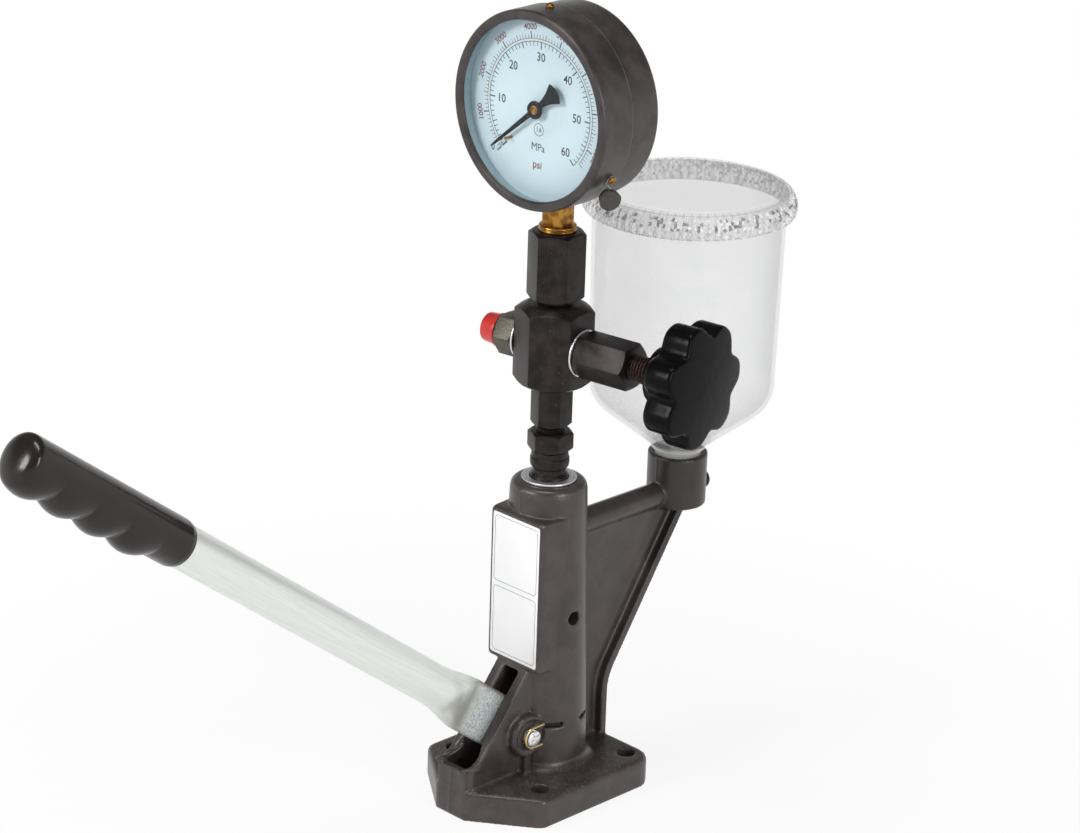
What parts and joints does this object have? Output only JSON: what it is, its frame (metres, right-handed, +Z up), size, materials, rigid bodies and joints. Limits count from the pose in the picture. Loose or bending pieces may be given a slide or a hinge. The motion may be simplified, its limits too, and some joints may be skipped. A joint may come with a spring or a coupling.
{
  "type": "diesel injector tester",
  "caption": "Bench tester for diesel injectors: a hand lever pump in a cast body with a pressure gauge, a shut-off valve, a capped outlet and a clear fuel reservoir on an arm.",
  "frame": {"origin": "on the pump axis, at the underside of the base", "axes": "+Z up along the pump axis, -Y towards the lever and the gauge face, +X towards the valve knob"},
  "size_m": [0.1527, 0.4942, 0.4242],
  "materials": {
    "dark_casting_paint": "semi-matte black-brown paint on a sand casting",
    "black_oxide_steel": "black oxide on turned steel",
    "bright_steel": "bright machined steel",
    "plain_steel": "ground steel",
    "spring_steel": "oiled spring steel",
    "zinc_plate": "pale zinc plate",
    "yellow_zinc_plate": "yellow zinc plate",
    "brass": "turned brass",
    "copper": "soft copper",
    "olive_plated_steel": "dull olive-grey plated steel",
    "reddish_oxide_steel": "reddish-brown oxide on a threaded spindle",
    "black_enamel": "satin black enamel on sheet steel",
    "black_bakelite": "glossy black moulded plastic",
    "dark_grip_plastic": "glossy dark moulded grip",
    "red_plastic": "glossy red moulded cap",
    "white_label": "bare white plate",
    "dial_paint": "pale bluish-white dial paint",
    "pointer_black": "matt black",
    "gauge_glass": "flat clear glass",
    "clear_plastic": "clear greyish acrylic",
    "lead": "dull dark lead",
    "packing_fibre": "pressed fibre",
    "black_rubber": "matt black rubber"
  },
  "bodies": {
    "tester_body": {"body_casting": "dark_casting_paint", "bottom_plug": "black_rubber", "label_plate": "white_label", "pump_barrel": "plain_steel", "upper_spring_seat": "plain_steel", "retaining_clip": "spring_steel", "locating_screw": "black_oxide_steel", "delivery_valve_seat": "plain_steel", "holder_gasket": "copper", "delivery_valve_holder": "black_oxide_steel", "column_top_washer": "bright_steel", "lock_nut": "black_oxide_steel", "riser_connector": "black_oxide_steel", "cross_block": "black_oxide_steel", "gauge_nut": "black_oxide_steel", "gauge_stem": "brass", "gauge_case": "black_enamel", "gauge_bezel": "black_enamel", "gauge_glass": "gauge_glass", "gauge_dial": "dial_paint", "pointer_stop_pin": "brass", "movement_frame": "brass", "bourdon_tube": "copper", "bezel_screw_1": "brass", "bezel_screw_2": "brass", "bezel_screw_3": "brass", "valve_washer": "bright_steel", "valve_bonnet": "black_oxide_steel", "gland_packing": "packing_fibre", "outlet_washer": "bright_steel", "outlet_union": "olive_plated_steel", "reservoir_cup": "clear_plastic", "cup_gasket": "packing_fibre", "gallery_plug": "black_oxide_steel", "pivot_pin": "bright_steel", "pin_clip_1": "yellow_zinc_plate", "pin_clip_2": "yellow_zinc_plate"},
    "plunger_group": {"plunger": "bright_steel", "tappet": "plain_steel", "lower_spring_seat": "plain_steel", "plunger_spring": "spring_steel"},
    "delivery_valve_group": {"delivery_valve": "bright_steel", "delivery_valve_spring": "spring_steel"},
    "pointer_group": {"gauge_pointer": "pointer_black", "pointer_shaft": "brass"},
    "sector_group": {"sector_gear": "brass", "tip_link": "brass"},
    "spindle_group": {"valve_spindle": "reddish_oxide_steel"},
    "knob_group": {"star_knob": "black_bakelite"},
    "cap_group": {"outlet_cap": "red_plastic"},
    "lid_group": {"reservoir_lid": "clear_plastic"},
    "seal_group": {"seal_wire": "plain_steel", "lead_seal": "lead"},
    "lever_group": {"lever": "zinc_plate", "grip": "dark_grip_plastic"}
  },
  "joints": [
    {"name": "lever_hinge", "type": "hinge", "parent": "tester_body", "child": "lever_group", "pos_m": [0, -0.0245, 0.0377], "axis": [1, 0, 0], "range_deg": [0, 26], "stiffness_Nm_per_rad": 3.4, "springref_deg": -36.1},
    {"name": "plunger_slide", "type": "slide", "parent": "tester_body", "child": "plunger_group", "axis": [0, 0, 1], "range_m": [0, 0.0108], "deforming": ["plunger_spring"]},
    {"name": "delivery_valve_lift", "type": "slide", "parent": "tester_body", "child": "delivery_valve_group", "axis": [0, 0, 1], "range_m": [0, 0.002], "stiffness_N_per_m": 500, "springref_m": -0.003, "deforming": ["delivery_valve_spring"]},
    {"name": "pointer_turn", "type": "hinge", "parent": "tester_body", "child": "pointer_group", "pos_m": [0, 0, 0.3719], "axis": [-0.0448, 0.999, 0], "range_deg": [0, 270], "stiffness_Nm_per_rad": 0.0005, "springref_deg": -5.73},
    {"name": "sector_turn", "type": "hinge", "parent": "tester_body", "child": "sector_group", "pos_m": [0, 0, 0.3554], "axis": [-0.0448, 0.999, 0], "range_deg": [-27, 0]},
    {"name": "spindle_slide", "type": "slide", "parent": "tester_body", "child": "spindle_group", "axis": [0.9895, 0.1444, 0], "range_m": [0, 0.00301]},
    {"name": "knob_turn", "type": "hinge", "parent": "spindle_group", "child": "knob_group", "pos_m": [0, 0, 0.2447], "axis": [0.9895, 0.1444, 0], "range_deg": [0, 720]},
    {"name": "cap_pull", "type": "slide", "parent": "tester_body", "child": "cap_group", "axis": [-0.9895, -0.1444, 0], "range_m": [0, 0.02]},
    {"name": "lid_lift", "type": "slide", "parent": "tester_body", "child": "lid_group", "axis": [0, 0, 1], "range_m": [0, 0.03]},
    {"name": "seal_swing", "type": "hinge", "parent": "tester_body", "child": "seal_group", "pos_m": [0.04387, -0.00904, 0.34477], "axis": [0.8472, 0.038, -0.5299], "range_deg": [-25, 25]}
  ],
  "couplings": [
    {"joint": "plunger_slide", "follows": "lever_hinge", "m_per_rad": 0.0237},
    {"joint": "sector_turn", "follows": "pointer_turn", "ratio": -0.1},
    {"joint": "spindle_slide", "follows": "knob_turn", "m_per_rad": 0.0002387}
  ]
}
